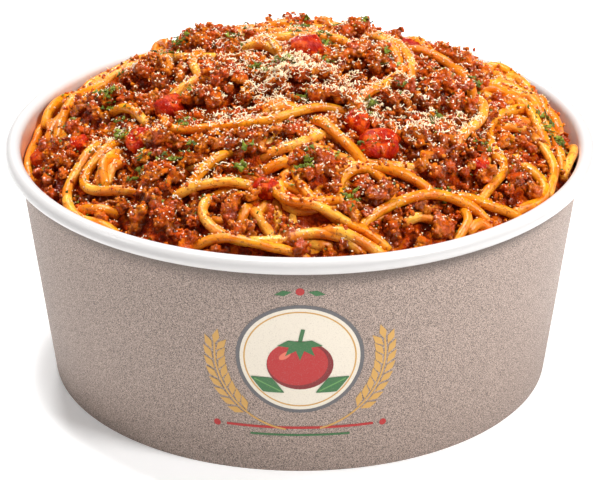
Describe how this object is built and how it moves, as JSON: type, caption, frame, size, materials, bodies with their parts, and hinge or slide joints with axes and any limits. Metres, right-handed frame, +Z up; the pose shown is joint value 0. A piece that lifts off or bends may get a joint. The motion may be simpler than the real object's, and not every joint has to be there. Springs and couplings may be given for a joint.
{
  "type": "bowl of spaghetti bolognese",
  "caption": "Round paper take-away bowl heaped with spaghetti, meat sauce, diced tomato, grated cheese and parsley; a meal that stands on its foot.",
  "frame": {"origin": "centre of the bowl's foot, on the surface that it stands on", "axes": "+Z up along the bowl's axis, +X to the right and -Y towards the front of the bowl"},
  "size_m": [0.1498, 0.1498, 0.0846],
  "materials": {
    "bowl": "matte",
    "spaghetti": "oiled cooked pasta",
    "meat_sauce": "moist cooked mince in tomato sauce",
    "tomato": "moist cooked tomato"
  },
  "bodies": {
    "root": {"bowl": "bowl", "spaghetti": "spaghetti", "meat_sauce_1": "meat_sauce", "meat_sauce_2": "meat_sauce", "meat_sauce_3": "meat_sauce", "meat_sauce_4": "meat_sauce", "meat_sauce_5": "meat_sauce", "meat_sauce_6": "meat_sauce", "meat_sauce_7": "meat_sauce", "meat_sauce_8": "meat_sauce", "meat_sauce_9": "meat_sauce", "meat_sauce_10": "meat_sauce", "meat_sauce_11": "meat_sauce", "meat_sauce_12": "meat_sauce", "meat_sauce_13": "meat_sauce", "meat_sauce_14": "meat_sauce", "meat_sauce_15": "meat_sauce", "meat_sauce_16": "meat_sauce", "meat_sauce_17": "meat_sauce", "meat_sauce_18": "meat_sauce", "meat_sauce_19": "meat_sauce", "meat_sauce_20": "meat_sauce", "meat_sauce_21": "meat_sauce", "meat_sauce_22": "meat_sauce", "meat_sauce_23": "meat_sauce", "tomato_1": "tomato", "tomato_2": "tomato", "tomato_3": "tomato", "tomato_4": "tomato", "tomato_5": "tomato", "tomato_6": "tomato", "tomato_7": "tomato", "tomato_8": "tomato", "tomato_9": "tomato", "tomato_10": "tomato", "tomato_11": "tomato", "tomato_12": "tomato"}
  },
  "joints": []
}
